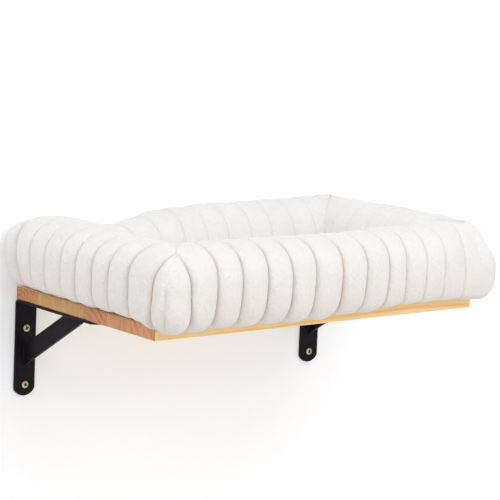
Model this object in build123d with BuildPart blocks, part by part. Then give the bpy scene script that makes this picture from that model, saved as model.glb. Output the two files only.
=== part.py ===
from build123d import *
import math
import os

# Cat wall shelf: a pine board on two welded steel brackets, with a lift-off plush bed.
# Millimetres. The wall face is the plane Y = 0, the room is towards -Y, and +Z is up.
# The origin is the centre of the rectangle of the four wall screws, on the wall face.

os.makedirs("parts", exist_ok=True)

# Clearances shared by the whole assembly
seat_gap = 0.3
overrun = 5.0

# Pine board
board_width = 500.0
board_depth = 300.0
board_thickness = 17.0
board_edge_radius = 1.5
board_offset = 4.0

# Steel L brackets, bent from flat bar
bracket_end_margin = 18.0
strap_width = 30.0
strap_thickness = 3.0
leg_height = 125.5
shelf_leg_length = 175.0
bend_inside_radius = 2.5
strap_end_radius = 17.0

# Brace, a flat bar standing on edge under each bracket
brace_thickness = 4.0
brace_depth = 23.0
brace_foot_drop = 86.0
brace_reach = 128.0
brace_nose_height = 7.0
weld_size = 3.0
weld_end_margin = 3.0

# Wall screws
wall_screw_drop = 38.0
wall_screw_spacing = 73.0
wall_screw_length = 40.0
wall_screw_radius = 2.5
wall_screw_neck_radius = 1.9
wall_screw_point = 6.0
wall_hole_clearance = 0.5
wall_head_radius = 4.75
wall_head_height = 2.8

# Board screws, driven up through the brackets
board_screw_rear = 35.0
board_screw_front_margin = 15.0
board_screw_length = 14.0
board_screw_radius = 2.0
board_screw_neck_radius = 1.6
board_screw_point = 3.0
board_hole_clearance = 0.05
strap_hole_clearance = 0.4
board_head_radius = 3.9
board_head_height = 2.2

# Cross recess in every screw head, as shares of the head
recess_length_share = 0.56
recess_width_share = 0.12
recess_depth_share = 0.45
head_rim_share = 0.4
head_crown_share = 0.64

# Hook and loop pads that hold the bed on the board
grip_length = 60.0
grip_width = 25.0
grip_thickness = 1.2
grip_side_margin = 50.0
grip_edge_margin = 45.0

# Bed: how far the crowns of its ribs stand out past the board, and how far they stay off the wall
bed_side_overhang = 18.0
bed_front_overhang = 46.0
bed_wall_gap = 1.0
base_thickness = 1.5
base_side_margin = 6.0
base_corner_radius = 20.0

# Rim section, measured from the corner pivot that the outer corners turn about
rim_reach_out = 38.0
rim_reach_in = 61.0
rim_height = 99.0
rim_droop = 5.0
rim_rib_width = 35.5
groove_depth = 6.5
droop_clearance = 0.8
corner_tip_radius = 1.5

# Points of the rim's section as shares of its reach outwards, its reach inwards and its height
foot_in_share = 0.9
foot_out_share = 0.5
lower_out_shares = (0.86, 0.2)
belly_height_share = 0.46
shoulder_shares = (0.88, 0.74)
crown_out_shares = (0.42, 0.92)
crown_rise_shares = (0.2, 0.965)
crown_share = 0.989
crown_fall_shares = (0.33, 0.992)
crest_in_shares = (0.7, 0.88)
belly_in_shares = (0.985, 0.53)
droop_mid_share = 0.2
droop_end_share = 0.4
outer_facets = 4
crown_facets = 2
inner_facets = 3

# Each rib runs groove, shoulder, shoulder, groove: place along the rib, and share of the groove left
rib_station_shares = ((0.0, 1.0), (0.22, 0.28), (0.5, 0.0), (0.78, 0.28))

# Seat pad inside the rim
pad_thickness = 30.0
pad_corner_radius = 26.0
pad_corner_wall_share = 0.8
pad_crown = 4.0
pad_bottom_inset = 7.0
pad_top_inset = 12.0
pad_crown_inset = 38.0
pad_belly_share = 0.45
pad_shoulder_share = 0.86

# Levels and places worked out from the sizes above
wall_screw_levels = (wall_screw_spacing / 2, -wall_screw_spacing / 2)
board_underside = wall_screw_levels[0] + wall_screw_drop
board_top = board_underside + board_thickness
leg_bottom = board_underside - leg_height
strap_underside = board_underside - strap_thickness
bracket_x = board_width / 2 - bracket_end_margin
bracket_places = {"left": -bracket_x, "right": bracket_x}
board_screw_places = (-board_screw_rear, -(shelf_leg_length - board_screw_front_margin))
board_centre_y = -board_depth / 2
bed_width = board_width + 2 * bed_side_overhang
bed_depth = board_depth + bed_front_overhang - bed_wall_gap
bed_centre_y = -bed_wall_gap - bed_depth / 2
grip_top = 2 * grip_thickness + seat_gap
base_top = grip_top + base_thickness
pivot_x = bed_width / 2 - rim_reach_out
pivot_y = bed_depth / 2 - rim_reach_out
hollow_x = pivot_x - rim_reach_in
hollow_y = pivot_y - rim_reach_in
board_edge_reach = board_depth + bed_centre_y - pivot_y


def cut_cross_recess(plane, head_radius, head_height):
    """Cuts the cross recess of a screw head, from the plane of its crown inwards."""
    with BuildSketch(plane) as recess:
        Rectangle(2 * head_radius * recess_length_share, 2 * head_radius * recess_width_share)
        Rectangle(2 * head_radius * recess_width_share, 2 * head_radius * recess_length_share)
    extrude(recess.sketch, amount=-head_height * recess_depth_share, mode=Mode.SUBTRACT)


def screw_outline(head_radius, head_height, neck_radius, shank_radius, length, point):
    """Half the section of a pan-head screw: X along the screw from under its head, Y its radius.
    Its plain neck is as long as the strap is thick."""
    Polyline(
        (-head_height, 0),
        (-head_height, head_radius * head_crown_share),
        (-head_height * head_rim_share, head_radius),
        (0, head_radius),
        (0, neck_radius),
        (strap_thickness, neck_radius),
        (strap_thickness, shank_radius),
        (length - point, shank_radius),
        (length, 0),
        close=True,
    )


def strap_end_waste(place, tip):
    """Outline of the corners cut off a strap's end, which leave it rounded: tip is the end's middle."""
    half = strap_width / 2
    end_rise = strap_end_radius - math.sqrt(strap_end_radius**2 - half**2)
    left, right = (place - half, tip + end_rise), (place + half, tip + end_rise)
    Polyline(
        left,
        (place - half - overrun, tip + end_rise),
        (place - half - overrun, tip - overrun),
        (place + half + overrun, tip - overrun),
        (place + half + overrun, tip + end_rise),
        right,
    )
    ThreePointArc(right, (place, tip), left)


def bead_outline(face, seat, hand):
    """Outline of a weld bead in the corner between the brace's face and the strap's face below seat."""
    Line((face, seat), (face, seat - weld_size))
    RadiusArc((face, seat - weld_size), (face + hand * weld_size, seat), hand * 2 * weld_size)
    Line((face + hand * weld_size, seat), (face, seat))


# Pine board with eased edges and pilot holes for the board screws
with BuildPart() as shelf_board:
    with BuildSketch(Plane.XY.offset(board_underside)):
        with Locations((board_offset, board_centre_y)):
            Rectangle(board_width, board_depth)
    extrude(amount=board_thickness)
    fillet(shelf_board.edges(), radius=board_edge_radius)
    with BuildSketch(Plane.XY.offset(board_underside)):
        with Locations(*[(x, y) for x in bracket_places.values() for y in board_screw_places]):
            Circle(board_screw_radius + board_hole_clearance)
    extrude(amount=board_screw_length - strap_thickness + seat_gap, mode=Mode.SUBTRACT)
shelf_board.part.label = "shelf_board"
export_step(shelf_board.part, "parts/shelf_board.step")


# Brackets, one pass for each side of the board
for side, place in bracket_places.items():
    # L strap with rounded ends
    with BuildPart() as bracket:
        with BuildSketch(Plane.YZ.offset(place)):
            with BuildLine():
                Polyline(
                    (0, leg_bottom),
                    (0, board_underside),
                    (-shelf_leg_length, board_underside),
                    (-shelf_leg_length, strap_underside),
                    (-strap_thickness, strap_underside),
                    (-strap_thickness, leg_bottom),
                    close=True,
                )
            make_face()
        extrude(amount=strap_width / 2, both=True)
        outside_bend = bracket.edges().sort_by_distance((place, 0, board_underside))[0]
        fillet(outside_bend, radius=bend_inside_radius + strap_thickness)
        inside_bend = bracket.edges().sort_by_distance((place, -strap_thickness, strap_underside))[0]
        fillet(inside_bend, radius=bend_inside_radius)
        with BuildSketch(Plane.XZ.offset(-overrun)):
            with BuildLine():
                strap_end_waste(place, leg_bottom)
            make_face()
        extrude(amount=strap_thickness + 2 * overrun, mode=Mode.SUBTRACT)
        with BuildSketch(Plane.XY.offset(strap_underside - overrun)):
            with BuildLine():
                strap_end_waste(place, -shelf_leg_length)
            make_face()
        extrude(amount=strap_thickness + 2 * overrun, mode=Mode.SUBTRACT)
        with BuildSketch(Plane.XZ.offset(-overrun)):
            with Locations(*[(place, level) for level in wall_screw_levels]):
                Circle(wall_screw_radius + wall_hole_clearance)
        extrude(amount=strap_thickness + 2 * overrun, mode=Mode.SUBTRACT)
        with BuildSketch(Plane.XY.offset(strap_underside - overrun)):
            with Locations(*[(place, y) for y in board_screw_places]):
                Circle(board_screw_radius + strap_hole_clearance)
        extrude(amount=strap_thickness + 2 * overrun, mode=Mode.SUBTRACT)
    bracket.part.label = f"{side}_bracket"
    export_step(bracket.part, f"parts/{side}_bracket.step")

    # Brace on edge, from the wall leg up to the shelf leg
    foot_low = (-strap_thickness, board_underside - brace_foot_drop)
    nose_low = (-brace_reach, strap_underside - brace_nose_height)
    slope = (nose_low[1] - foot_low[1]) / (foot_low[0] - nose_low[0])
    brace_rise = brace_depth * math.sqrt(1 + slope**2)
    foot_high = (-strap_thickness, foot_low[1] + brace_rise)
    top_rear = (-strap_thickness - (strap_underside - foot_high[1]) / slope, strap_underside)
    with BuildPart() as brace:
        with BuildSketch(Plane.YZ.offset(place)):
            with BuildLine():
                Polyline(foot_low, foot_high, top_rear, (-brace_reach, strap_underside), nose_low, close=True)
            make_face()
        extrude(amount=brace_thickness / 2, both=True)
    brace.part.label = f"{side}_brace"
    export_step(brace.part, f"parts/{side}_brace.step")

    # Weld beads in the four corners between the brace and the strap
    with BuildPart() as welds:
        for hand in (-1, 1):
            face_x = place + hand * brace_thickness / 2
            with BuildSketch(Plane.XY.offset(foot_low[1] + weld_end_margin)):
                with BuildLine():
                    bead_outline(face_x, -strap_thickness, hand)
                make_face()
            extrude(amount=brace_rise - 2 * weld_end_margin)
            with BuildSketch(Plane.XZ.offset(-top_rear[0] + weld_end_margin)):
                with BuildLine():
                    bead_outline(face_x, strap_underside, hand)
                make_face()
            extrude(amount=brace_reach + top_rear[0] - 2 * weld_end_margin)
    welds.part.label = f"{side}_welds"
    export_step(welds.part, f"parts/{side}_welds.step")


# Wall screws through the legs, heads on their faces
with BuildPart() as wall_screws:
    for place in bracket_places.values():
        for level in wall_screw_levels:
            head_seat = Vector(place, -strap_thickness, level)
            with BuildSketch(Plane(head_seat, x_dir=(0, 1, 0), z_dir=(1, 0, 0))):
                with BuildLine():
                    screw_outline(
                        wall_head_radius,
                        wall_head_height,
                        wall_screw_neck_radius,
                        wall_screw_radius,
                        wall_screw_length,
                        wall_screw_point,
                    )
                make_face()
            revolve(axis=Axis(head_seat, (0, 1, 0)))
            crown = Plane(head_seat - Vector(0, wall_head_height, 0), x_dir=(1, 0, 0), z_dir=(0, -1, 0))
            cut_cross_recess(crown, wall_head_radius, wall_head_height)
wall_screws.part.label = "wall_screws"
export_step(wall_screws.part, "parts/wall_screws.step")


# Board screws up through the shelf legs
with BuildPart() as board_screws:
    for place in bracket_places.values():
        for reach in board_screw_places:
            head_seat = Vector(place, reach, strap_underside)
            with BuildSketch(Plane(head_seat, x_dir=(0, 0, 1), z_dir=(1, 0, 0))):
                with BuildLine():
                    screw_outline(
                        board_head_radius,
                        board_head_height,
                        board_screw_neck_radius,
                        board_screw_radius,
                        board_screw_length,
                        board_screw_point,
                    )
                make_face()
            revolve(axis=Axis(head_seat, (0, 0, 1)))
            crown = Plane(head_seat - Vector(0, 0, board_head_height), x_dir=(1, 0, 0), z_dir=(0, 0, -1))
            cut_cross_recess(crown, board_head_radius, board_head_height)
board_screws.part.label = "board_screws"
export_step(board_screws.part, "parts/board_screws.step")


# Hook pads on the board and loop pads under the bed, one above the other
grip_x = board_width / 2 - grip_side_margin - grip_length / 2
grip_y = board_depth / 2 - grip_edge_margin - grip_width / 2
grip_places = [(board_offset + i * grip_x, board_centre_y + j * grip_y) for i in (-1, 1) for j in (-1, 1)]
for name, level in (("hook_pads", board_top), ("loop_pads", board_top + grip_thickness + seat_gap)):
    with BuildPart() as grip_pads:
        with BuildSketch(Plane.XY.offset(level)):
            with Locations(*grip_places):
                Rectangle(grip_length, grip_width)
        extrude(amount=grip_thickness)
    grip_pads.part.label = name
    export_step(grip_pads.part, f"parts/{name}.step")


# Base panel, the non-slip cloth under the bed
base_half_width = pivot_x + rim_reach_out * foot_out_share - base_side_margin
base_front = -board_depth + base_side_margin
base_rear = bed_centre_y + pivot_y + rim_reach_out * foot_out_share - base_side_margin
with BuildPart() as base_panel:
    with BuildSketch(Plane.XY.offset(board_top + grip_top)):
        with Locations((0, (base_front + base_rear) / 2)):
            RectangleRounded(2 * base_half_width, base_rear - base_front, base_corner_radius)
    extrude(amount=base_thickness)
base_panel.part.label = "base_panel"
export_step(base_panel.part, "parts/base_panel.step")


def flat_faced(lofted):
    """The same solid, with every facet that is flat as a true plane."""
    return Solid(Shell([Face(face.outer_wire()) if face.is_planar else face for face in lofted.faces()]))


# Seat pad: a stuffed pad with a low crown and drawn-in sides
pad_stations = (
    (base_top, pad_bottom_inset),
    (base_top + pad_thickness * pad_belly_share, seat_gap),
    (base_top + pad_thickness * pad_shoulder_share, pad_top_inset / 3),
    (base_top + pad_thickness, pad_top_inset),
    (base_top + pad_thickness + pad_crown, pad_crown_inset),
)
with BuildPart() as seat_pad:
    for level, inset in pad_stations:
        half_width, half_depth = hollow_x - inset, hollow_y - inset
        corner = min(pad_corner_radius, half_depth * pad_corner_wall_share)
        with BuildSketch(Plane.XY.offset(board_top + level)):
            with Locations((0, bed_centre_y)):
                RectangleRounded(2 * half_width, 2 * half_depth, corner)
    add(flat_faced(loft(ruled=True, mode=Mode.PRIVATE)))
seat_pad.part.label = "seat_pad"
export_step(seat_pad.part, "parts/seat_pad.step")


def arc_points(start, middle, end, facets):
    """Points along an arc at the ends of its straight facets, without the last."""
    arc = ThreePointArc(start, middle, end, mode=Mode.PRIVATE)
    return [arc @ (facet / facets) for facet in range(facets)]


def rim_outline(droop):
    """Section of a rib at its fullest, with each facet's groove depth: X outwards from the corner pivot,
    Y up from the board's top. It starts under the pivot and turns outwards, over the crown and back."""
    out, inn, top = rim_reach_out, rim_reach_in, rim_height
    rise = droop - seat_gap
    foot_in = Vector(-inn * foot_in_share, base_top)
    if droop:
        under, foot_out = [Vector(out * droop_mid_share, -droop)], (out * foot_out_share, -droop * droop_end_share)
        lip = [Vector(board_edge_reach, base_top), Vector(board_edge_reach + droop_clearance, -droop)]
    else:
        under, foot_out, lip = [], (out * foot_out_share, base_top), []
    belly = (out, top * belly_height_share)
    crown_out = (out * crown_out_shares[0], top * crown_out_shares[1])
    crown = (0, top * crown_share)
    crest_in = (-inn * crest_in_shares[0], top * crest_in_shares[1])
    points = [
        *under,
        *arc_points(foot_out, (out * lower_out_shares[0], top * lower_out_shares[1]), belly, outer_facets),
        *arc_points(belly, (out * shoulder_shares[0], top * shoulder_shares[1]), crown_out, outer_facets),
        *arc_points(crown_out, (out * crown_rise_shares[0], top * crown_rise_shares[1]), crown, crown_facets),
        *arc_points(crown, (-inn * crown_fall_shares[0], top * crown_fall_shares[1]), crest_in, inner_facets),
        *arc_points(crest_in, (-inn * belly_in_shares[0], top * belly_in_shares[1]), foot_in, inner_facets),
        foot_in,
        *lip,
    ]
    round_facets = 2 * outer_facets + crown_facets + 2 * inner_facets
    depths = [rise] * len(under) + [groove_depth] * round_facets + [0] + [0, rise][:len(lip)]
    return points, depths


def drawn_in(points, depths, groove):
    """The outline with each facet moved inwards, parallel to itself, by its own share of the groove."""
    facets = []
    for start, end, depth in zip(points, points[1:] + points[:1], depths):
        along = (end - start).normalized()
        facets.append((start + Vector(-along.Y, along.X) * (groove * depth), along))
    return [
        start + along * ((next_start - start).cross(next_along).Z / along.cross(next_along).Z)
        for (start, along), (next_start, next_along) in zip(facets[-1:] + facets[:-1], facets)
    ]


# The four bolsters of the rim: outward direction, pivot distance, half the run, droop past the board
up = Vector(0, 0, 1)
bed_centre = Vector(0, bed_centre_y, board_top)
rim_sides = {
    "front_rim": (Vector(0, -1, 0), pivot_y, pivot_x, rim_droop),
    "right_rim": (Vector(1, 0, 0), pivot_x, pivot_y, 0),
    "back_rim": (Vector(0, 1, 0), pivot_y, pivot_x, 0),
    "left_rim": (Vector(-1, 0, 0), pivot_x, pivot_y, 0),
}
for name, (outward, distance, half_run, droop) in rim_sides.items():
    run = outward.cross(up)
    middle = bed_centre + outward * distance
    ribs = max(1, round(2 * half_run / rim_rib_width))
    pitch = 2 * half_run / ribs
    stations = [(pitch * (rib + share), groove) for rib in range(ribs) for share, groove in rib_station_shares]
    stations.append((pitch * ribs, 1.0))
    points, depths = rim_outline(droop)
    with BuildPart() as rim:
        for along, groove in stations:
            with BuildSketch(Plane(middle + run * (along - half_run), x_dir=outward, z_dir=run)):
                with BuildLine():
                    Polyline(*drawn_in(points, depths, groove), close=True)
                make_face()
        add(flat_faced(loft(ruled=True, mode=Mode.PRIVATE)))
        # Mitres at both ends of the part that lies inside the pivots
        reach = rim_reach_in + overrun
        for end in (-1, 1):
            with BuildSketch(Plane(middle - up * (rim_droop + overrun), x_dir=run, z_dir=up)):
                with BuildLine():
                    Polyline(
                        (end * half_run, 0),
                        (end * (half_run + overrun), -reach),
                        (end * (half_run - reach), -reach),
                        close=True,
                    )
                make_face()
            extrude(amount=rim_height + rim_droop + 2 * overrun, mode=Mode.SUBTRACT)
    rim.part.label = name
    export_step(rim.part, f"parts/{name}.step")


# Corner ribs: level slices of a quarter turn about each pivot, swelling between the grooves at its ends
rim_corners = {
    "front_left_corner": (-1, -1, 180, rim_droop),
    "front_right_corner": (1, -1, 270, rim_droop),
    "back_right_corner": (1, 1, 0, 0),
    "back_left_corner": (-1, 1, 90, 0),
}
corner_swell = groove_depth / (rim_reach_out - groove_depth)
for name, (side_x, side_y, start, droop) in rim_corners.items():
    pivot = bed_centre + Vector(side_x * pivot_x, side_y * pivot_y, 0)
    points, depths = rim_outline(droop)
    crown = points.index(Vector(0, rim_height * crown_share))
    outline = drawn_in(points, depths, 1)
    over, beside = outline[crown], outline[crown - 1]
    tip = over + (beside - over) * ((corner_tip_radius - over.X) / (beside.X - over.X))
    with BuildPart() as corner:
        for slice_reach in (*outline[:crown], tip):
            arc = []
            for share, groove in (*rib_station_shares, (1.0, 1.0)):
                angle = math.radians(start + share * 90)
                radius = slice_reach.X * (1 + corner_swell * (1 - groove))
                arc.append((radius * math.cos(angle), radius * math.sin(angle)))
            with BuildSketch(Plane(pivot + up * slice_reach.Y)):
                with BuildLine():
                    Polyline((0, 0), *arc, close=True)
                make_face()
        add(flat_faced(loft(ruled=True, mode=Mode.PRIVATE)))
    corner.part.label = name
    export_step(corner.part, f"parts/{name}.step")
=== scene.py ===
import math
from collections import namedtuple

import bmesh
import bpy
import numpy as np
from mathutils import Matrix, Vector, noise


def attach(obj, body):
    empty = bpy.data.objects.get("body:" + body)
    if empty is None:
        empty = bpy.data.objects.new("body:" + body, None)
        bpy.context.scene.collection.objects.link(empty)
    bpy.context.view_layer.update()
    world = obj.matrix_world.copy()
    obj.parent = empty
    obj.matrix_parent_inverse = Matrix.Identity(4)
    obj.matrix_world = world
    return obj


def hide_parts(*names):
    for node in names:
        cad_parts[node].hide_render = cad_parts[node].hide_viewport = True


# Cat wall shelf. Shapes are worked out in millimetres and set down in metres. Finishes, stage, lights and camera are
# in metres.
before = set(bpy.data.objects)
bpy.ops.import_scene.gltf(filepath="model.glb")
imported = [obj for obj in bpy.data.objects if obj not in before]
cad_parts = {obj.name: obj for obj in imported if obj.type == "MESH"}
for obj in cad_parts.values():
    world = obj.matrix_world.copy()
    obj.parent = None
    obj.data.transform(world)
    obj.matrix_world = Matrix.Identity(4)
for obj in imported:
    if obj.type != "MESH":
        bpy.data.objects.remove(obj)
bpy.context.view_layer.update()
MM = 0.001
BOARD_TOP = 91.5
BED_MIDDLE = np.array((0.0, -173.5))
# Heights over the board: the rim's underside, and the top of the base cloth
BED_FLOOR, CLOTH_TOP = 4.5, 4.2

# The board's six strips, front to back: the heart's place from the strip's middle, along the depth and in height,
# and how close its rings lie, each from 0 to 1, then the wood's tint
STRIPS = [
    ((0.1, 0.9, 0.2), (0.97, 0.76, 0.64)),
    ((1.0, 0.55, 0.7), (0.96, 0.83, 0.66)),
    ((0.7, 0.24, 0.24), (0.84, 0.62, 0.47)),
    ((0.02, 0.6, 0.8), (0.94, 0.98, 0.78)),
    ((0.0, 0.45, 0.9), (0.95, 0.9, 0.66)),
    ((0.6, 0.42, 0.3), (0.85, 0.66, 0.48)),
]
# A strip's width, the wall's place counted in strips, and where the back strip is looked up in the table
STRIP_WIDTH, STRIP_START, BACK_STRIP = 0.0502, 0.998, 0.88
# Height of the board's middle, and the span round it and round a strip's middle in which the hearts lie
BOARD_MIDDLE, HEART_REACH = 0.083, 0.16
# Rings in a metre where they lie closest, and how dark the wood is through one ring
MOST_RINGS = 500
RING_STOPS = [(0, (0, 0, 0)), (0.5, (0.12,) * 3), (0.84, (1, 1, 1)), (1, (0, 0, 0))]


class Signal:
    """One output in a tree of nodes. Arithmetic on it adds Math nodes."""

    def __init__(self, tree, socket):
        self.tree, self.socket = tree, socket

    def reckon(self, operation, *values):
        """One Math node's result."""
        return self.tree.node("ShaderNodeMath", {"operation": operation}, dict(enumerate(values)))

    def __add__(self, other):
        return self.reckon("ADD", self, other)

    def __sub__(self, other):
        return self.reckon("SUBTRACT", self, other)

    def __rsub__(self, other):
        return self.reckon("SUBTRACT", other, self)

    def __mul__(self, other):
        return self.reckon("MULTIPLY", self, other)

    def __pow__(self, other):
        return self.reckon("POWER", self, other)

    def __gt__(self, other):
        return self.reckon("GREATER_THAN", self, other)

    def __abs__(self):
        return self.reckon("ABSOLUTE", self)

    __radd__, __rmul__ = __add__, __mul__

    def floor(self):
        return self.reckon("FLOOR", self)

    def fraction(self):
        return self.reckon("FRACT", self)

    def beside(self, output):
        """Another output of the same node."""
        return Signal(self.tree, self.socket.node.outputs[output])

    def parts(self):
        """The three parts of a place, a direction or a colour."""
        first = self.tree.node("ShaderNodeSeparateXYZ", {}, {0: self})
        return first, first.beside(1), first.beside(2)


class Tree:
    """The nodes of a material or of the world, round its one shader."""

    def __init__(self, owner, shader):
        owner.use_nodes = True
        self.nodes, self.links = owner.node_tree.nodes, owner.node_tree.links
        self.shader = self.nodes[shader]

    def node(self, kind, settings=None, values=None, output=0):
        """Any node: its settings first, then its sockets' values or links."""
        made = self.nodes.new(kind)
        for key, value in (settings or {}).items():
            if key in ("stops", "steps"):
                ramp = made.color_ramp
                ramp.interpolation = "LINEAR" if key == "stops" else "CONSTANT"
                while len(ramp.elements) < len(value):
                    ramp.elements.new(1)
                for element, (place, colour) in zip(ramp.elements, value):
                    element.position, element.color = place, (*colour, 1)
            else:
                setattr(made, key, value)
        for key, value in (values or {}).items():
            if isinstance(value, Signal):
                self.links.new(value.socket, made.inputs[key])
            else:
                made.inputs[key].default_value = value
        return Signal(self, made.outputs[output])

    def mix(self, share, first, second, blend="MIX"):
        """Two colours mixed by share."""
        first, second = ((*c, 1) if isinstance(c, tuple) else c for c in (first, second))
        settings = {"data_type": "RGBA", "blend_type": blend, "clamp_factor": True}
        return self.node("ShaderNodeMix", settings, {0: share, 6: first, 7: second}, output=2)

    def feed(self, socket, signal):
        """The shader's socket takes the signal."""
        self.links.new(signal.socket, self.shader.inputs[socket])


class Finish(Tree):
    """A surface finish: a new material with a Principled shader."""

    def __init__(self, name, **constants):
        self.material = bpy.data.materials.new(name)
        super().__init__(self.material, "Principled BSDF")
        for socket, value in constants.items():
            self.shader.inputs[socket.replace("_", " ")].default_value = value

    def place(self, scale=(1, 1, 1)):
        """Where a point lies on the object, in metres, stretched by scale."""
        coordinates = self.node("ShaderNodeTexCoord", output="Object")
        return self.node("ShaderNodeVectorMath", {"operation": "MULTIPLY"}, {0: coordinates, 1: scale})

    def noise(self, scale, detail=2.0, roughness=0.5, stretch=(1, 1, 1)):
        """Clouds from 0 to 1, with about scale of them in a metre."""
        values = {"Vector": self.place(stretch), "Scale": scale, "Detail": detail, "Roughness": roughness}
        return self.node("ShaderNodeTexNoise", {}, values)

    def fold(self):
        """How much painted shade a point takes, deep in a crease, a recess or a seam, or low down, from 0 to 1."""
        return self.node("ShaderNodeAttribute", {"attribute_name": "fold"}, output="Fac")

    def bump(self, *layers):
        """Bumps of (height, depth in metres), one over the other."""
        normal = None
        for height, depth in layers:
            values = {"Height": height, "Distance": depth, "Strength": 1.0}
            if normal:
                values["Normal"] = normal
            normal = self.node("ShaderNodeBump", {}, values)
        self.feed("Normal", normal)


def plush_finish():
    """Short off-white pile. Painted shade, grey-brown as if lit by light bounced off the board, lies in the grooves
    and low down.
    """
    plush = Finish("plush", Roughness=0.95, Sheen_Weight=0.3, Sheen_Roughness=0.5, Specular_IOR_Level=0.1)
    dull, bright, painted_shade_colour = (0.85, 0.815, 0.785), (0.965, 0.955, 0.94), (0.67, 0.535, 0.425)
    patches, brushed = plush.noise(24, 3.0), plush.noise(190, 3.0, 0.75)
    cloth = plush.mix(patches * 0.5 + brushed * 0.5, dull, bright)
    # Painted shade, warm with painted bounce light from the board, in the grooves and low on the outside
    plush.feed("Base Color", plush.mix(plush.fold() * 0.6, cloth, painted_shade_colour))
    pile, tufts = plush.noise(1500, 2.0, 0.6), plush.noise(180, 4.0, 0.65)
    strands = plush.noise(800, 2.0, 0.6, stretch=(1, 1, 0.25))
    plush.bump((tufts, 0.0026), (strands, 0.0006), (pile, 0.0005))
    return plush.material


def pine_finish():
    """Strips of pine glued edge to edge, with growth rings about a heart of its own in each."""
    pine = Finish("pine", Roughness=0.5, Coat_Weight=0.12, Coat_Roughness=0.3)
    _, across, height = pine.place().parts()
    lane = across * (1 / STRIP_WIDTH) + STRIP_START
    strip = lane.floor()
    number = strip * (1 / len(STRIPS)) + BACK_STRIP
    tables = ([(k / len(STRIPS), row[n]) for k, row in enumerate(STRIPS)] for n in (0, 1))
    heart, tint = (pine.node("ShaderNodeValToRGB", {"steps": table}, {0: number}) for table in tables)

    # Growth rings: how far a point lies from its strip's heart, a little uneven
    heart_along, heart_up, closeness = heart.parts()
    strip_middle = (strip + 0.5 - STRIP_START) * STRIP_WIDTH
    from_heart = across - strip_middle - (heart_along - 0.5) * HEART_REACH
    over_heart = height - BOARD_MIDDLE - (heart_up - 0.5) * HEART_REACH
    drift = pine.noise(5, 2.0, stretch=(0.45, 1, 1)) * 0.03
    ripple = pine.noise(45, 3.0, 0.6, stretch=(0.05, 1, 1)) * 0.006
    away = (from_heart * from_heart + over_heart * over_heart) ** 0.5
    rings = (away + drift + ripple) * closeness * MOST_RINGS
    late = pine.node("ShaderNodeValToRGB", {"stops": RING_STOPS}, {0: rings.fraction()})

    # The board's ends show the cut rings and their pores, darker than the long faces
    facing, _, _ = pine.node("ShaderNodeTexCoord", output="Normal").parts()
    end_grain = abs(facing) > 0.7
    early_long, late_long = (1.0, 0.79, 0.42), (0.95, 0.56, 0.19)
    early_cut, late_cut, pore_cut = (0.72, 0.42, 0.2), (0.27, 0.09, 0.04), (0.4, 0.19, 0.09)
    clearness = pine.noise(34, 2.0) * 3 - 0.9
    pores = pine.noise(420, 2.0, 0.6, stretch=(1, 1, 0.1)) * 3 - 1
    cut_wood = pine.mix(pores * 0.45, pine.mix(late * clearness, early_cut, late_cut), pore_cut)
    wood = pine.mix(end_grain, pine.mix(late * 0.7, early_long, late_long), cut_wood)

    # Fine streaks along the wood, each strip's tint and the glue lines between the strips
    streaks = pine.noise(240, 3.0, 0.65, stretch=(0.05, 1, 1))
    streak_tint, glue_colour = (0.84, 0.5, 0.26), (0.4, 0.2, 0.08)
    wood = pine.mix(0.38, wood, pine.mix(streaks * 3 - 1, (1, 1, 1), streak_tint), "MULTIPLY")
    wood = pine.mix(0.2 + end_grain * 0.75, wood, tint, "MULTIPLY")
    glue = abs(lane.fraction() - 0.5) > 0.488
    pine.feed("Base Color", pine.mix(glue * 0.5, wood, glue_colour))
    pine.feed("Roughness", 0.42 + late * 0.15)
    pine.bump((late, 0.00012), (streaks, 0.00008))
    return pine.material


def powder_coat_finish():
    """Satin black powder coat with a fine grain."""
    coat = Finish("powder_coat", Roughness=0.45, Specular_IOR_Level=0.1)
    speckle, cloud = coat.noise(1400, 2.0), coat.noise(45, 2.0)
    coat.feed("Base Color", coat.mix(cloud, (0.006, 0.0038, 0.0055), (0.0125, 0.008, 0.0125)))
    coat.feed("Roughness", 0.38 + cloud * 0.14)
    coat.bump((speckle, 0.00012))
    return coat.material


def screw_finish():
    """Yellow-passivated steel, with painted shade down in the recess."""
    steel = Finish("screw_metal", Metallic=1.0)
    cloud = steel.noise(380, 3.0)
    plated = steel.mix(cloud, (0.5, 0.4, 0.24), (0.7, 0.58, 0.4))
    # Painted shade, near black, down in the cross recess
    steel.feed("Base Color", steel.mix(steel.fold(), plated, (0.035, 0.028, 0.02)))
    steel.feed("Roughness", 0.24 + cloud * 0.2)
    steel.bump((steel.noise(2500, 2.0), 0.00002))
    return steel.material


def grip_finish():
    """Hook and loop tape: rows of tiny stiff hooks."""
    tape = Finish("grip_tape", Roughness=0.9)
    hooks = tape.node("ShaderNodeTexVoronoi", {}, {"Vector": tape.place(), "Scale": 900.0})
    tape.feed("Base Color", tape.mix(hooks, (0.03, 0.03, 0.032), (0.1, 0.1, 0.1)))
    tape.bump((hooks, 0.0005))
    return tape.material


def base_cloth_finish():
    """Coarse grey cloth with rubber dots, so that the bed doesn't slip."""
    cloth = Finish("base_cloth", Roughness=0.92, Sheen_Weight=0.15)
    rows = {"Vector": cloth.place((1, 1, 0)), "Scale": 190.0, "Randomness": 0.0}
    dot = 1 - (cloth.node("ShaderNodeTexVoronoi", {}, rows) > 0.28)
    weave = cloth.noise(1300, 2.0)
    ground = cloth.mix(weave, (0.42, 0.4, 0.37), (0.55, 0.53, 0.49))
    cloth.feed("Base Color", cloth.mix(dot, ground, (0.66, 0.65, 0.62)))
    cloth.bump((weave, 0.0003), (dot, 0.0004))
    return cloth.material


FINISHES = {
    "plush": plush_finish(),
    "pine": pine_finish(),
    "powder_coat": powder_coat_finish(),
    "screw_metal": screw_finish(),
    "grip_tape": grip_finish(),
    "base_cloth": base_cloth_finish(),
}


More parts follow.
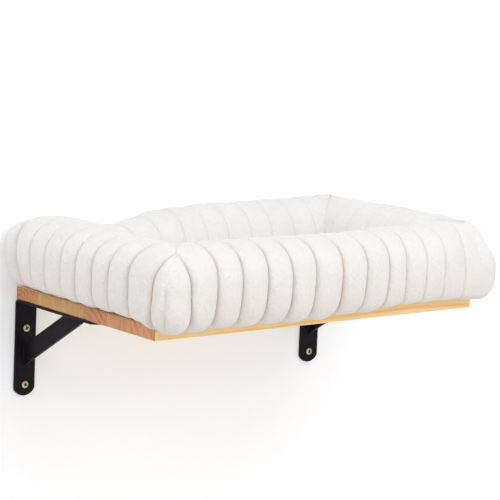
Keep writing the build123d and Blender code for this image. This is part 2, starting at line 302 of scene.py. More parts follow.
def set_down(name, points, faces, slot, body, stands_for, fold=None, merge=0.01):
    """A piece of the model from points in millimetres, finished and put on its body. Points nearer to each other
    than merge become one."""
    mesh = bpy.data.meshes.new(name)
    mesh.from_pydata((np.asarray(points) * MM).tolist(), [], faces)
    # Each point's share of painted shade, which the finishes darken by
    if fold is not None:
        values = np.asarray(fold, float).ravel()
        mesh.attributes.new("fold", "FLOAT", "POINT").data.foreach_set("value", values)
    work = bmesh.new()
    work.from_mesh(mesh)
    bmesh.ops.remove_doubles(work, verts=work.verts, dist=merge * MM)
    bmesh.ops.recalc_face_normals(work, faces=work.faces)
    work.to_mesh(mesh)
    work.free()
    mesh.polygons.foreach_set("use_smooth", [True] * len(mesh.polygons))
    piece = bpy.data.objects.new(name, mesh)
    bpy.context.scene.collection.objects.link(piece)
    mesh.materials.append(FINISHES[slot])
    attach(piece, body)
    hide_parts(*stands_for)
    return piece


def smooth_loop(points, steps):
    """A closed smooth curve through the points, with steps samples for each."""
    p = np.array(points, float)
    before, after, beyond = np.roll(p, 1, 0), np.roll(p, -1, 0), np.roll(p, -2, 0)
    t = (np.arange(steps) / steps)[None, :, None]
    curve = (
        2 * p[:, None]
        + (after - before)[:, None] * t
        + (2 * before - 5 * p + 4 * after - beyond)[:, None] * t**2
        + (3 * p - before - 3 * after + beyond)[:, None] * t**3
    ) / 2
    return curve.reshape(-1, p.shape[1])


# Section of the rim: reach outwards from the corner pivots, height over the board, share of the groove
UPPER_SECTION = [
    (38, 45, 1), (37.3, 61, 1), (33, 76, 0.95), (23.5, 88, 0.82), (10, 95.3, 0.62), (-6, 98.5, 0.45),
    (-23, 97.5, 0.34), (-39, 90, 0.28), (-51, 77, 0.32), (-58.5, 59, 0.35), (-60.5, 38, 0.35), (-58, 18, 0.3),
]
PLAIN_SECTION = [
    (-50, 4.6, 0), (-25, 4.5, 0), (-9, 4.5, 0), (-4, 4.5, 0), (4, 4.5, 0), (11, 4.5, 0.1), (18, 4.6, 0.3),
    (26, 5.6, 0.5), (33.5, 12, 0.75), (37.3, 27, 0.92), *UPPER_SECTION,
]
# The same where the rim droops over the board's edge
DROOPED_SECTION = [
    (-52, 4.4, 0), (-26, 4.4, 0), (-9.5, 4.4, 0), (-6.6, 2.6, 0), (-6, -1.6, 0.1), (-1.5, -4.6, 0.7),
    (7, -5.2, 1.25), (18.5, -4.3, 1.5), (29, 2.8, 1.4), (35.4, 18, 1.1), *UPPER_SECTION,
]
STEPS = 6
PLAIN, DROOPED = smooth_loop(PLAIN_SECTION, STEPS), smooth_loop(DROOPED_SECTION, STEPS)
ROWS = len(PLAIN)
ROW_NUMBERS = np.arange(ROWS)
# Rows of the section: where the outside begins below, where grooves begin to lean, the belly, and past the crown
OUTSIDE_ROW, LEAN_ROW, BELLY_ROW, PAST_CROWN = (n * STEPS for n in (4, 8, 10, 16))
# Height over the board from which they lean
LEAN_START = 35
# Columns of points across each rib
RIB_COLUMNS = 18
# A full groove's depth, how far it strays from a straight line, and the curve of the rib between two grooves
GROOVE, SWAY, RIB_CURVE = 6.8, 0.9, (2.8, 0.6)
# Puckers beside the grooves: how far they reach, their size and their seed, and their depth
PUCKER_REACH, PUCKER_SIZE, PUCKER_SEED, PUCKER_DEPTH = 6, 7, 3.0, 0.6
# Places along a run carry on round its corners, where they count as on a circle of this radius
FAN_RADIUS = 31.5
QUARTER = FAN_RADIUS * math.pi / 2
# The back of the bed comes no nearer to the wall than this
WALL_CLEARANCE = -0.8
# The mitre's seam inside each corner: how deep it is, how wide, and the reach over which a corner's groove becomes it
MITRE_STRENGTH, MITRE_WIDTH, MITRE_FADE = 0.45, 9, 14
# The front left mitre's seam is pulled aside on the crest: where, how far, how wide round, and from which height
SEAM_SPOT, SEAM_SHIFT = np.array((-225.0, -303.0)), np.array((4.7, -3.7))
SEAM_SPREAD, SEAM_HEIGHT, SEAM_RISE = 15, 78, 14
# Stuffing makes every surface uneven: depth, size and seed of each layer
SAGS = ((1.1, 46, 11.0), (0.6, 17, 5.0), (0.55, 6.5, 2.0))
# A corner's fullness low down ends at this height over the board. Its shoulder begins to slope at the next one, and
# slopes fully after the rise. Both reach this far along the runs
LOW_END, SHOULDER_START, SHOULDER_RISE, CORNER_REACH = 45, 40, 42, 45
# The painted shade low down on the outside, warm like light bounced off the board, and the height where it ends
LOW_SHADE, LOW_SHADE_END = 0.55, 75
# Where a corner rib gets narrower than this towards its tip, it flattens
FLAT_WIDTH = 24

# Each corner, after its run. A corner's rib runs up between two grooves to its tip. The turns are in degrees
Corner = namedtuple(
    "Corner",
    "first_turn last_turn tip_turn tip_reach first_strength last_strength squareness low_fullness shoulder_slope",
)
CORNERS = {
    "front_right_corner": Corner(14, 90, 60, 10, 0.6, 0.06, 0.13, 0, 0.38),
    "front_left_corner": Corner(-9, 80, 26, 16, 1, 1, 0.04, 0.24, 0),
    "back_left_corner": Corner(9, 80, 45, 12, 1, 1, 0.28, -0.2, 0),
    "back_right_corner": Corner(12, 78, 45, 12, 1, 1, 0.1, -0.1, 0),
}
# Each run: outward, half its length and the grooves along it, then tables along it: how deep the grooves are, how
# much it droops, and how high its crest and how full its outside are
RUNS = {
    "right_rim": dict(
        outward=(1, 0), half=134.5, grooves=(-101, -66, -34, 0, 33, 68, 101),
        depth=((-134, 0.8), (134, 0.6)),
        droop=((-134, 0), (115, 0), (134, 0.6)),
        crest=((-134, 0.96), (0, 1.01), (134, 1.02)),
        full=((-134, 1), (134, 1)),
    ),
    "front_rim": dict(
        outward=(0, -1), half=230, grooves=(-204, -168, -137, -106, -77, -41, -3, 38, 75, 111, 149, 187),
        depth=((-204, 0.5), (-137, 0.6), (-77, 0.85), (-30, 1), (230, 1)),
        droop=((-230, 0.5), (-190, 0.15), (-100, 0.1), (-60, 0.75), (0, 1), (230, 1)),
        crest=((-230, 1.0), (-120, 0.975), (-20, 0.95), (80, 0.97), (230, 0.985)),
        full=((-230, 0.97), (0, 1), (230, 0.98)),
    ),
    "left_rim": dict(
        outward=(-1, 0), half=134.5, grooves=(-94, -55, -21, 12.5, 43.5, 76.5, 109),
        depth=((-94, 1), (-21, 0.85), (109, 0.65)),
        droop=((-134, 1), (-127, 0.35), (-118, 0), (134, 0)),
        crest=((-134, 0.985), (-70, 0.955), (0, 0.955), (90, 0.97), (134, 0.97)),
        full=((-134, 0.98), (0, 1.08), (134, 1.13)),
    ),
    "back_rim": dict(
        outward=(0, 1), half=230, grooves=(-195, -160, -124, -89, -53, -18, 17, 53, 88, 124, 159, 195),
        depth=((-230, 0.9), (230, 0.9)),
        droop=((-230, 0), (230, 0)),
        crest=((-230, 0.96), (-190, 0.87), (-155, 0.78), (-125, 0.78), (-70, 0.93), (0, 0.97), (230, 0.985)),
        full=((-230, 1), (230, 1)),
    ),
}
# How far a run's pivots lie from the bed's middle, by half its length
PIVOT_DISTANCE = {230: 134.5, 134.5: 230}


def neighbours(run):
    """The run and the corner before this run, and those after it."""
    runs, corners = list(RUNS), list(CORNERS.values())
    k = runs.index(run)
    return (runs[k - 1], corners[k - 1]), (runs[(k + 1) % len(runs)], corners[k])


def along_run(run, key, q):
    """What a run's table says at q, carried on round both corners towards the next runs."""
    half, table = RUNS[run]["half"], RUNS[run][key]
    value = np.interp(q, *zip(*table))
    for end, (other, corner) in zip((-1, 1), neighbours(run)):
        turn = np.clip((end * q - half) / QUARTER, 0, 1)
        value = value + (RUNS[other][key][-1 if end < 0 else 0][1] - value) * turn
        if key == "full":
            value = value + corner.squareness * np.sin(math.pi * turn) ** 2
    return value


def by_corner(run, q, key):
    """What both corners say at q, fading out along the run."""
    half = RUNS[run]["half"]
    shares = (np.clip(1 - (half - end * q) / CORNER_REACH, 0, 1) for end in (-1, 1))
    return sum(getattr(corner, key) * share for share, (_, corner) in zip(shares, neighbours(run)))


def rib_profile(u, left=1, right=1):
    """Share of the groove at u across a rib: fat in the middle, narrow at the two grooves."""
    away = np.clip(np.abs(2 * u - 1), 0, 1)
    outer, inner = RIB_CURVE
    return np.where(u < 0.5, left, right) * (1 - (1 - away**outer) ** inner)


def section_at(rows, droop):
    """The section's rows where the rim droops by that share: reach, height, groove share, normal."""

    def row(at):
        plain, drooped = PLAIN[at % ROWS][:, None], DROOPED[at % ROWS][:, None]
        return plain + (drooped - plain) * droop[..., None]

    mixed, turn = row(rows), row(rows + 1) - row(rows - 1)
    length = np.hypot(turn[..., 0], turn[..., 1]) + 1e-9
    return mixed[..., 0], mixed[..., 1], mixed[..., 2], turn[..., 1] / length, -turn[..., 0] / length


def groove_lean(rows, angle, corner):
    """Where a groove beside a corner rib runs in each row: it leans to the tip above the belly."""
    crown = slice(BELLY_ROW, PAST_CROWN)
    tip_height = np.interp(-corner.tip_reach, -PLAIN[crown, 0], PLAIN[crown, 1])
    risen = np.clip((PLAIN[rows, 1] - LEAN_START) / (tip_height - LEAN_START), 0, 1)
    lean = 1 - (1 - risen**3) ** 0.5
    lean = np.where((PLAIN[rows, 0] <= corner.tip_reach) & (rows >= BELLY_ROW), 1, lean)
    return np.radians(angle + (corner.tip_turn - angle) * np.where(rows >= LEAN_ROW, lean, 0))


def groove_strength(rows, strength, corner):
    """How strong that groove is in each row: past the tip it is the mitre's seam."""
    share = np.clip((PLAIN[rows, 0] - corner.tip_reach) / MITRE_FADE, 0, 1)
    return np.where(rows >= BELLY_ROW, MITRE_STRENGTH + (strength - MITRE_STRENGTH) * share, strength)


def unevenness(points, size, seed):
    """Smooth noise at each point, with bumps of about that size."""
    at = points.reshape(-1, 3) / size + (seed, 0, 0)
    return np.array([noise.noise(Vector(p)) for p in at]).reshape(points.shape[:-1])


def sagging(points):
    """How deep the stuffing sags at each point."""
    return sum(depth * unevenness(points, size, seed) for depth, size, seed in SAGS)


def settle(run, q, reach, height):
    """Points of a run: straight between its pivots, fanned round them outside and mitred inside."""
    outward, half = np.array(RUNS[run]["outward"], float), RUNS[run]["half"]
    along = np.array((outward[1], -outward[0]))
    outside = reach >= 0
    far = np.abs(q)
    fan = np.where(outside, np.clip((far - half) / FAN_RADIUS, 0, math.pi / 2), 0)
    beyond = np.where(outside, np.clip(far - half - QUARTER, 0, None), 0)
    straight = np.minimum(far, np.where(outside, half, half - np.abs(reach)))
    side = np.sign(q) * (straight + reach * np.sin(fan))
    out = PIVOT_DISTANCE[half] + reach * np.cos(fan) - beyond
    flat = BED_MIDDLE + side[..., None] * along + out[..., None] * outward
    near = np.exp(-((np.linalg.norm(flat - SEAM_SPOT, axis=-1) / SEAM_SPREAD) ** 2))
    flat += (near * np.clip((height - SEAM_HEIGHT) / SEAM_RISE, 0, 1))[..., None] * SEAM_SHIFT
    flat[..., 1] = np.minimum(flat[..., 1], WALL_CLEARANCE)
    return np.concatenate([flat, (BOARD_TOP + height)[..., None]], -1)


def shaped(run, q, rows, slack=0):
    """Reach, height, groove share and normal of the bare rim at q in each row."""
    reach, height, groove, out_n, up_n = section_at(rows, along_run(run, "droop", q) * (1 + slack))
    low = np.clip(1 - height / LOW_END, 0, 1)
    high = np.clip((height - SHOULDER_START) / SHOULDER_RISE, 0, 1)
    high = high**2 * (3 - 2 * high)
    full = along_run(run, "full", q) + by_corner(run, q, "low_fullness") * low
    full = full - by_corner(run, q, "shoulder_slope") * high
    reach = np.where(reach > 0, reach * full, reach)
    raised = BED_FLOOR + (height - BED_FLOOR) * along_run(run, "crest", q)
    return reach, np.where(height > BED_FLOOR, raised, height), groove, out_n, up_n


def shading(hollow, groove, reach, height):
    """How much painted shade each point takes: deep in a groove, or low down on the outside."""
    low = LOW_SHADE * np.clip(1 - height / LOW_SHADE_END, 0, 1) * (reach > 0)
    return hollow**2 * np.clip(groove * 1.2, 0, 1) + low


def groove_lines(run, chance):
    """Where the grooves of a run lie in each row and how strong they are, both corners' grooves included."""
    half, grooves = RUNS[run]["half"], RUNS[run]["grooves"]
    count = len(grooves)
    (_, first), (_, last) = neighbours(run)
    start = -half - FAN_RADIUS * (math.pi / 2 - groove_lean(ROW_NUMBERS, first.last_turn, first))
    finish = half + FAN_RADIUS * groove_lean(ROW_NUMBERS, last.first_turn, last)
    round_section = ROW_NUMBERS[:, None] / ROWS * math.tau
    sway = sum(
        chance.uniform(-1, 1, count) * np.sin(round_section * n + chance.uniform(0, 6, count))
        for n in (1, 2, 3)
    )
    marks = np.concatenate([start[:, None], np.array(grooves, float) + SWAY * sway, finish[:, None]], 1)
    depths = chance.uniform(0.85, 1.05, count) * np.interp(grooves, *zip(*RUNS[run]["depth"]))
    start_strength = groove_strength(ROW_NUMBERS, first.last_strength, first)
    finish_strength = groove_strength(ROW_NUMBERS, last.first_strength, last)
    between = np.broadcast_to(depths, (ROWS, count))
    return marks, np.concatenate([start_strength[:, None], between, finish_strength[:, None]], 1)


def rib_columns(marks, half):
    """Places across the ribs in each row, closest at the grooves. The grooves end at the mitres inside."""
    inside = np.clip(-PLAIN[:, :1] - 1, 0, None)
    step = 0.5 * np.arange(marks.shape[1])
    least = -half + inside + step
    most = np.maximum(half - inside - step[::-1], least)
    knots = np.where(inside > 0, np.clip(marks, least, most), marks)
    u = (1 - np.cos(np.linspace(0, math.pi, RIB_COLUMNS + 1)[:-1])) / 2
    q = (knots[:, :-1, None] + (knots[:, 1:] - knots[:, :-1])[..., None] * u).reshape(ROWS, -1)
    return np.concatenate([q, knots[:, -1:]], 1)


def closed_tube(points):
    """Points and faces of a tube round the section, with a fan of faces on each end."""
    index = np.arange(points.shape[0] * points.shape[1]).reshape(points.shape[:2])
    above = np.roll(index, -1, 0)
    faces = np.stack([index[:, :-1], index[:, 1:], above[:, 1:], above[:, :-1]], -1).reshape(-1, 4).tolist()
    points = points.reshape(-1, 3)
    for column in (0, -1):
        ring = index[:, column]
        points = np.vstack([points, points[ring].mean(0)])
        faces += [(int(a), int(b), len(points) - 1) for a, b in zip(ring, np.roll(ring, -1))]
    return points, faces


def make_run(run):
    """One bolster of the rim, as a grid of rows round the section and columns along the ribs."""
    half = RUNS[run]["half"]
    chance = np.random.default_rng(40 + list(RUNS).index(run))
    marks, strength = groove_lines(run, chance)
    count = marks.shape[1]
    q = rib_columns(marks, half)

    # Which rib each point is on, how far across it, and how much that rib is slack and lifted
    rib = np.stack([np.clip(np.searchsorted(m, row, "right") - 1, 0, count - 2) for m, row in zip(marks, q)])
    left, right = (np.take_along_axis(marks, rib + n, 1) for n in (0, 1))
    left_strength, right_strength = (np.take_along_axis(strength, rib + n, 1) for n in (0, 1))
    across = np.clip((q - left) / (right - left), 0, 1)
    bulge = 1 - (2 * across - 1) ** 2
    slack = chance.uniform(-0.35, 0.3, count)[rib] * bulge
    lift = chance.uniform(-0.12, 0.1, count)[rib] * bulge
    reach, height, groove, out_n, up_n = shaped(run, q, ROW_NUMBERS, slack)

    # The ribs' hollows run out into the mitre's seam at the inside corners
    edge = half + np.minimum(reach, 0) - np.abs(q)
    seam = np.where(reach < 0, np.exp(-((np.clip(edge, 0, None) / MITRE_WIDTH) ** 1.4)), 0)
    hollow = rib_profile(across, left_strength, right_strength) + lift
    hollow = hollow + (MITRE_STRENGTH - hollow) * seam

    # Puckers beside the grooves and sags on the ribs, fading out where there is no groove
    middle = settle(run, q, reach, height)
    near = np.minimum(across, 1 - across) * (right - left)
    pucker = np.exp(-near / PUCKER_REACH) * unevenness(middle, PUCKER_SIZE, PUCKER_SEED)
    free = np.clip(edge / 10 + (reach > 0), 0, 1) * np.clip(groove * 2, 0, 1) * (1 - seam) * np.clip(near / 5, 0, 1)
    depth = GROOVE * groove * hollow + free * (PUCKER_DEPTH * pucker + sagging(middle))

    tube = closed_tube(settle(run, q, reach - out_n * depth, height - up_n * depth))
    # Painted shade at each point, full at the middles of the ends
    fold = np.append(shading(hollow, groove, reach, height).ravel(), (1, 1))
    piece = set_down(run.replace("rim", "bolster"), *tube, "plush", "bed", [run], fold)


def soft_fold(u, height, place=0.63, width=0.05, bottom=-8, top=64):
    """A dart that runs up a corner rib from below at that place across it, wavy, and fading out at both ends. It
    deepens the rib and its painted shade.
    """
    across = np.exp(-(((u - place - 0.015 * np.sin(height / 14)) / width) ** 2))
    return 0.5 * np.clip((top - height) / 22, 0, 1) * np.clip((height - bottom) / 16, 0, 1) * across


def make_corner(name, run):
    """The fat rib round one corner, from its two grooves up to the tip where they meet."""
    corner, half = CORNERS[name], RUNS[run]["half"]
    outward = np.array(RUNS[run]["outward"], float)
    pivot = BED_MIDDLE + np.array((outward[1], -outward[0])) * half + outward * PIVOT_DISTANCE[half]
    last_row = max(i for i in range(BELLY_ROW, ROWS) if PLAIN[i, 0] > corner.tip_reach) + 1
    rows = np.arange(OUTSIDE_ROW, last_row + 1)
    start, finish = (groove_lean(rows, turn, corner)[:, None] for turn in (corner.first_turn, corner.last_turn))
    u = (1 - np.cos(np.linspace(0, math.pi, 2 * RIB_COLUMNS + 1))) / 2
    across = np.broadcast_to(u, (len(rows), len(u)))
    q = half + FAN_RADIUS * (start + (finish - start) * u)
    reach, height, groove, out_n, up_n = shaped(run, q, rows)

    # The rib flattens towards its tip
    strengths = (corner.first_strength, corner.last_strength)
    left, right = (groove_strength(rows, strength, corner)[:, None] for strength in strengths)
    ends = left + (right - left) * u
    width = (finish - start) * np.clip(PLAIN[rows, :1], 1, None)
    hollow = ends + (rib_profile(across, left, right) - ends) * np.clip(width / FLAT_WIDTH, 0, 1)
    if name == "front_left_corner":
        hollow = hollow + soft_fold(u, height)
    middle = settle(run, q, reach, height)
    free = np.sin(math.pi * u) ** 0.5 * np.clip(groove * 2, 0, 1)
    depth = GROOVE * groove * hollow + free * sagging(middle)
    least_reach = 1.5
    points = settle(run, q, np.clip(reach - out_n * depth, least_reach, None), height - up_n * depth)

    # Each row is closed at the pivot's upright line
    axis = np.concatenate([np.broadcast_to(pivot, (len(rows), 2)), points[:, :1, 2]], 1)[:, None]
    points = np.concatenate([points, axis], 1)
    index = np.arange(len(rows) * (len(u) + 1)).reshape(len(rows), -1)
    beside = np.roll(index, -1, 1)
    faces = np.stack([index[:-1], beside[:-1], beside[1:], index[1:]], -1).reshape(-1, 4).tolist()
    faces += [index[0].tolist(), index[-1].tolist()]
    # Painted shade at each point, full on the pivot's line
    fold = np.concatenate([shading(hollow, groove, reach, height), np.ones((len(rows), 1))], 1)
    piece = set_down(f"{name}_rib", points.reshape(-1, 3), faces, "plush", "bed", [name], fold, merge=0.001)


def rounded_rectangle(half_width, half_depth, radius, count):
    """Points round a rectangle with round corners, evenly spaced."""
    path = []
    for k, (sx, sy) in enumerate([(1, 1), (-1, 1), (-1, -1), (1, -1)]):
        for angle in np.linspace(0, math.pi / 2, 13) + k * math.pi / 2:
            centre = (sx * (half_width - radius), sy * (half_depth - radius))
            path.append((centre[0] + radius * math.cos(angle), centre[1] + radius * math.sin(angle)))
    path = np.array(path + path[:1])
    place = np.concatenate([[0], np.cumsum(np.linalg.norm(np.diff(path, axis=0), axis=1))])
    at = np.linspace(0, place[-1], count, endpoint=False)
    return np.stack([np.interp(at, place, path[:, i]) for i in range(2)], 1)


def skin(rings):
    """Faces that join rings of equal count, closed at both ends. The end rings have one point each."""
    faces, base = [], 0
    for lower, upper in zip(rings, rings[1:]):
        a, b = len(lower), len(upper)
        for i in range(max(a, b)):
            j = (i + 1) % max(a, b)
            quad = [base + i % a, base + j % a, base + a + j % b, base + a + i % b]
            faces.append([v for n, v in enumerate(quad) if v not in quad[:n]])
        base += a
    return np.concatenate(rings), faces


def joined(parts):
    """Points and faces of several skins as one."""
    all_points, all_faces, base = [], [], 0
    for points, faces in parts:
        all_points.append(points)
        all_faces += [[v + base for v in face] for face in faces]
        base += len(points)
    return np.concatenate(all_points), all_faces


# The filling's simulation: size of its even mesh in metres, and how many steps it is blown up for
FILLING_MESH, FILLING_STEPS = 0.0045, 20


def puffed(points, faces, pressure, cap):
    """The skin filled by cloth simulation: remeshed, blown up, with no point moved further than cap."""
    mesh = bpy.data.meshes.new("filling")
    mesh.from_pydata((points * MM).tolist(), [], faces)
    form = bpy.data.objects.new("filling", mesh)
    bpy.context.scene.collection.objects.link(form)
    remesh = form.modifiers.new("even", "REMESH")
    remesh.mode, remesh.voxel_size = "VOXEL", FILLING_MESH
    bpy.context.view_layer.update()
    even = bpy.data.meshes.new_from_object(form.evaluated_get(bpy.context.evaluated_depsgraph_get()))
    form.modifiers.clear()
    form.data = even
    before = np.empty(len(even.vertices) * 3)
    even.vertices.foreach_get("co", before)
    after = before.copy()
    cloth = form.modifiers.new("cloth", "CLOTH")
    cloth.settings.use_pressure = True
    cloth.settings.uniform_pressure_force = pressure
    cloth.settings.effector_weights.gravity = 0
    for step in range(1, FILLING_STEPS + 1):
        bpy.context.scene.frame_set(step)
    blown = form.evaluated_get(bpy.context.evaluated_depsgraph_get()).to_mesh()
    blown.vertices.foreach_get("co", after)
    form.modifiers.clear()
    bpy.context.scene.frame_set(1)
    before, after = before.reshape(-1, 3) / MM, after.reshape(-1, 3) / MM
    moved = after - before
    far = np.linalg.norm(moved, axis=1, keepdims=True) + 1e-9
    after = before + moved * np.minimum(1, cap / far)
    quads = [list(face.vertices) for face in even.polygons]
    bpy.data.objects.remove(form)
    return after, quads


# The seat cushion's outline, from the middle below to the middle on top: shares of its half width and of its height
SEAT_STATIONS = [
    (0.02, 0), (0.45, 0), (0.8, 0), (0.94, 0.08), (1, 0.3), (1, 0.55), (0.95, 0.8), (0.82, 0.93), (0.55, 0.99),
    (0.3, 1), (0.02, 1),
]


def make_seat_cushion():
    """The stuffed pad inside the rim: a crowned pillow, flat where it lies on the base cloth."""
    half_width, half_depth, low, high = 169.0, 73.5, BOARD_TOP + CLOTH_TOP, BOARD_TOP + 38.2
    middle_y = BED_MIDDLE[1]
    rings = [np.array([(0, middle_y, low + 1)])]
    for share, rise in SEAT_STATIONS:
        inset = 3.5 + 62 * (1 - share)
        loop = rounded_rectangle(half_width - inset, half_depth - inset, max(1.0, 24 - 0.3 * inset), 96)
        level = np.full(len(loop), low + 1 + rise * (high - low - 5))
        rings.append(np.column_stack([loop[:, 0], loop[:, 1] + middle_y, level]))
    rings.append(np.array([(0, middle_y, high - 4)]))
    points, faces = puffed(*skin(rings), pressure=4, cap=6)
    spread = np.abs(points[:, :2] - BED_MIDDLE).max(0)
    size = np.array((half_width - 0.5, half_depth - 0.5))
    points[:, :2] = BED_MIDDLE + (points[:, :2] - BED_MIDDLE) * size / spread

    # Soft corners, a seam round the edge, a shallow dent in the middle, and ripples on top
    x, y, z = points[:, 0], points[:, 1] - middle_y, points[:, 2]
    corner = np.clip(np.abs(x) / half_width, 0, 1) ** 6 * np.clip(np.abs(y) / half_depth, 0, 1) ** 3
    rise = np.clip((z - low) / (high - low), 0, 1)
    outside = np.maximum(np.abs(x) / (half_width - 3), np.abs(y) / (half_depth - 3)) > 0.93
    seam = np.exp(-(((rise - 0.5) / 0.07) ** 2)) * outside
    pull = 1 - 0.012 * seam
    dent = 3.5 * np.exp(-((x / 95) ** 2 + (y / 42) ** 2)) * (rise > 0.5)
    ripple = (1.5 * unevenness(points, 38, 21.0) + 0.8 * unevenness(points, 15, 8.0)) * (rise > 0.3)
    points = np.column_stack([x * pull, y * pull + middle_y, z - dent + ripple - 2 * corner * (rise > 0.5)])
    inner = np.array((half_width - 0.4, half_depth - 0.4))
    points[:, :2] = np.clip(points[:, :2] - BED_MIDDLE, -inner, inner) + BED_MIDDLE
    points[:, 2] = np.clip(points[:, 2], low + 0.2, high + 1)
    # The seam round the edge takes painted shade
    piece = set_down("seat_cushion", points, faces, "plush", "bed", ["seat_pad"], 0.7 * seam)
    smooth = piece.modifiers.new("smooth", "SUBSURF")
    smooth.levels = smooth.render_levels = 1


def make_base_cloth():
    """The non-slip cloth under the bed, hemmed all round and sewn to the rim."""
    half_width, half_depth, middle_y, top = 243.0, 134.0, -160.0, BOARD_TOP + CLOTH_TOP
    thickness, hem_thickness, hem_start, stitch_line = 1.1, 1.4, 0.95, 0.967
    shares = np.concatenate([np.linspace(0.04, hem_start, 22), [0.962, stitch_line, 0.972, 0.985, 1]])
    upper, lower = [], []
    for share in shares:
        inset = (1 - share) * half_depth
        loop = rounded_rectangle(half_width - inset, half_depth - inset, max(1.0, 20 - 0.15 * inset), 200)
        sag = 0.5 * np.cos(loop[:, 0] / 60) * np.cos(loop[:, 1] / 45) * (1 - share)
        stitch = 0.25 * math.exp(-(((share - stitch_line) / 0.004) ** 2))
        level = np.full(len(loop), top - 0.05) - sag - stitch
        under = level - (hem_thickness if share > hem_start else thickness) + 2 * stitch
        upper.append(np.column_stack([loop[:, 0], loop[:, 1] + middle_y, level]))
        lower.append(np.column_stack([loop[:, 0], loop[:, 1] + middle_y, under]))
    tip = np.array([(0, middle_y, top - 0.6)])
    rings = [tip, *upper, *lower[::-1], tip - (0, 0, thickness)]
    piece = set_down("base_cloth", *skin(rings), "base_cloth", "bed", ["base_panel"])


def screw(head_radius, head_height, neck_radius, shank_radius, length, point, neck=3, count=48):
    """A pan-head screw along +Z from under its head: rings with a cross recess, a plain neck and a thread."""
    turn = np.linspace(0, math.tau, count, endpoint=False)
    # Shares of the head's radius: half an arm's width, an arm's length and the pit's radius. Shares of its height:
    # the recess's depth and the upright rim
    arm_width, arm_length, pit_radius = 0.19, 0.6, 0.4
    recess_depth, rim = 0.5, 0.4
    # Each ring's share of painted shade, full in the cross recess
    rings, recess = [np.array([(0, 0, -head_height * recess_depth)])], [[1.0]]
    for share in np.linspace(0.04, 1, 26):
        x, y = head_radius * share * np.cos(turn), head_radius * share * np.sin(turn)
        narrow, wide = np.minimum(np.abs(x), np.abs(y)), np.maximum(np.abs(x), np.abs(y))
        arm = np.clip((arm_width * head_radius - narrow) / (0.07 * head_radius), 0, 1)
        arm = arm * np.clip((arm_length * head_radius - wide) / (0.1 * head_radius), 0, 1)
        pit = np.maximum(arm, np.clip((pit_radius - share) / 0.1, 0, 1))
        crown = head_height * (rim + (1 - rim) * math.sqrt(max(0, 1 - share**2.6)))
        rings.append(np.column_stack([x, y, -crown + pit * head_height * recess_depth]))
        recess.append(pit)
    pitch, thread = 0.8 * shank_radius, 0.28 * shank_radius
    levels = [(0, head_radius), (0, neck_radius), (neck, neck_radius)]
    levels += [(level, None) for level in np.arange(neck, length - 0.3, pitch / 5)]
    for level, radius in levels:
        if radius is None:
            taper = min(1, (length - level) / point)
            phase = (level / pitch - turn / math.tau) % 1
            radius = (shank_radius - thread * np.clip(np.abs(2 * phase - 1) * 1.6 - 0.3, 0, 1)) * taper
            radius = np.maximum(radius, 0.05)
        rings.append(np.column_stack([radius * np.cos(turn), radius * np.sin(turn), np.full(count, float(level))]))
        recess.append(np.zeros(count))
    rings.append(np.array([(0, 0, length)]))
    recess.append([0.0])
    return *skin(rings), np.concatenate(recess)


def make_screws(name, node, axes, spots, **sizes):
    """One group of screws: the same screw at each spot, turned a little differently in each."""
    points, faces, recess = screw(**sizes)
    parts = []
    for n, spot in enumerate(spots):
        twist = math.radians(17 + 41 * n)
        x = points[:, 0] * math.cos(twist) - points[:, 1] * math.sin(twist)
        y = points[:, 0] * math.sin(twist) + points[:, 1] * math.cos(twist)
        parts.append((np.column_stack([x, y, points[:, 2]]) @ np.array(axes, float) + spot, faces))
    set_down(name, *joined(parts), "screw_metal", "shelf", [node], np.tile(recess, len(spots)))


# The brackets' places along the wall, and their faces: the front of the wall leg and the underside of the shelf leg
BRACKETS = {"left": -232.0, "right": 232.0}
LEG_FRONT, LEG_UNDERSIDE = -3, 71.5
# A brace's weld beads, at its foot and at its head: start, way along, way out of the bracket, and length
BEADS = (
    ((0, LEG_FRONT, -8.5), (0, 0, 1), (0, -1, 0), 20.9),
    ((0, -98.3, LEG_UNDERSIDE), (0, -1, 0), (0, 0, -1), 26.7),
)
BEAD_SIZE, RIPPLE_LENGTH, HALF_BRACE = 2.0, 1.9, 2


def make_welds(side, place):
    """Rippled weld beads in the four corners between a brace and its bracket."""
    theta = np.linspace(0, math.pi / 2, 9)
    parts = []
    for hand in (-1, 1):
        for start, way, out, length in BEADS:
            start, way, out = (np.array(v, float) for v in (start, way, out))
            beside = np.array((hand, 0, 0), float)
            corner = np.array((place + HALF_BRACE * hand, 0, 0)) + start
            root = -0.3 * (beside + out)
            rings = []
            for at in np.linspace(0, length, 72):
                ends = math.sqrt(max(0.02, 1 - abs(2 * at / length - 1) ** 9))
                phase = at / RIPPLE_LENGTH + 0.35 * np.sin(2 * theta)
                size = BEAD_SIZE * ends * (0.86 + 0.14 * np.abs(np.sin(math.pi * phase)))
                size = size * (1 + 0.06 * math.sin(at * 0.9 + place))
                arc = beside * (size * np.cos(theta))[:, None] + out * (size * np.sin(theta))[:, None]
                rings.append(np.vstack([corner + way * at + root, corner + way * at + arc]))
            parts.append(skin([rings[0].mean(0)[None], *rings, rings[-1].mean(0)[None]]))
    set_down(f"{side}_weld_beads", *joined(parts), "powder_coat", "shelf", [f"{side}_welds"])


# The stage's backdrop: just behind the wall face, it bends round to a floor far below
WALL_FACE, WALL_HEIGHT, BEND_HEIGHT, BEND_RADIUS, STAGE_REACH = 0.0006, 2.5, -0.55, 0.3, 6


